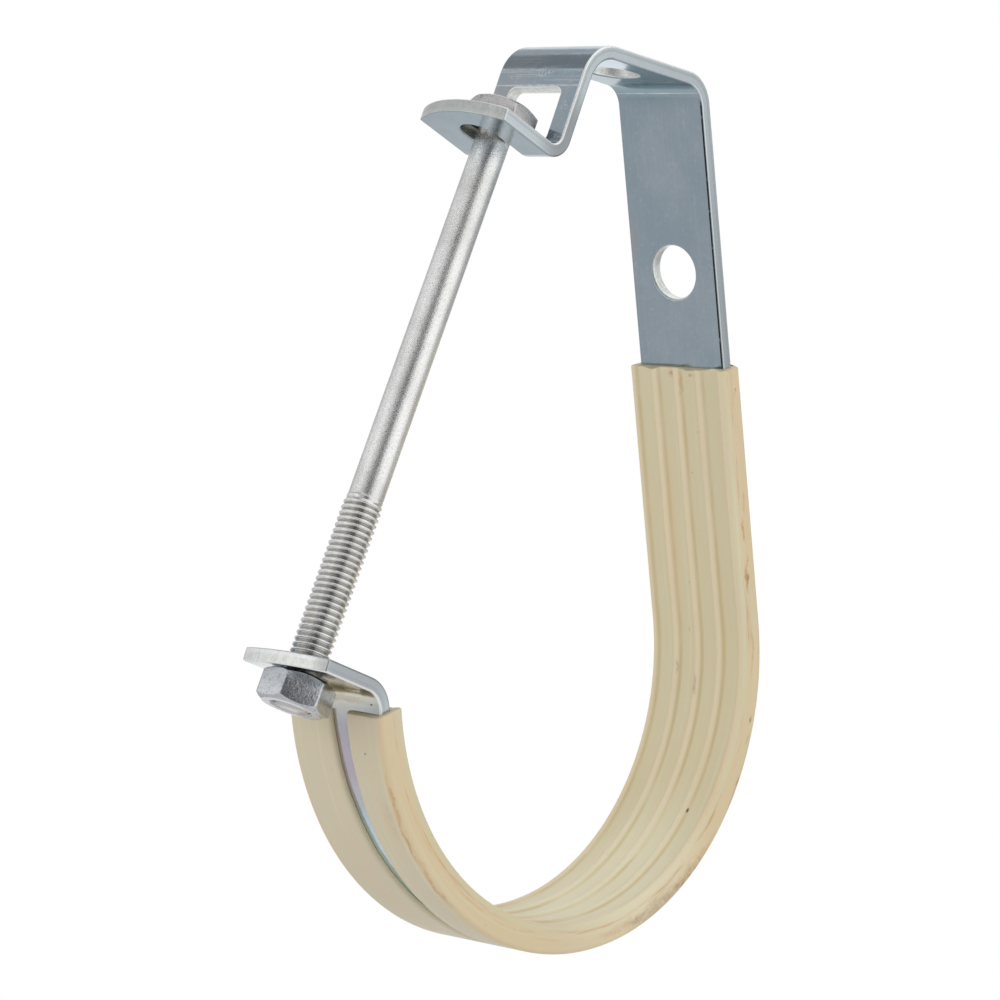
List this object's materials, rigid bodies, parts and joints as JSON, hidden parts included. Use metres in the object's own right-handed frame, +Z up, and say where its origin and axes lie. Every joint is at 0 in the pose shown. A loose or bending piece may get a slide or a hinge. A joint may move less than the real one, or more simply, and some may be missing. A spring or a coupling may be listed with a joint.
{
  "type": "j pipe hanger",
  "caption": "Steel strip bent into a J that carries a pipe in a ribbed liner, hung by a hole in its top plate and closed by a long bolt and nut.",
  "frame": {"origin": "on the axis of the rod hole, at the underside of the level top plate", "axes": "+X towards the back leg, Y along the pipe, +Z up the hanger rod"},
  "size_m": [0.134, 0.0254, 0.184],
  "materials": {
    "zinc_strip": "blue bright zinc plate, cold rolled, faintly mottled",
    "liner": "matt cream plastic with handling dirt",
    "zinc_bolt": "bright zinc plate",
    "zinc_nut": "bright zinc plate"
  },
  "bodies": {
    "hanger": {"hanger_strap": "zinc_strip", "pipe_liner": "liner"},
    "bolt": {"clamp_bolt": "zinc_bolt"},
    "nut": {"hex_nut": "zinc_nut"}
  },
  "joints": [
    {"name": "bolt_turn", "type": "hinge", "parent": "hanger", "child": "bolt", "pos_m": [-0.03227, 0, -0.01859], "axis": [0.2825, 0, 0.9593], "range_deg": [0, 1800]},
    {"name": "nut_travel", "type": "slide", "parent": "hanger", "child": "nut", "axis": [-0.2825, 0, -0.9593], "range_m": [0, 0.0063]}
  ],
  "couplings": [
    {"joint": "nut_travel", "follows": "bolt_turn", "m_per_rad": 0.00019894}
  ]
}
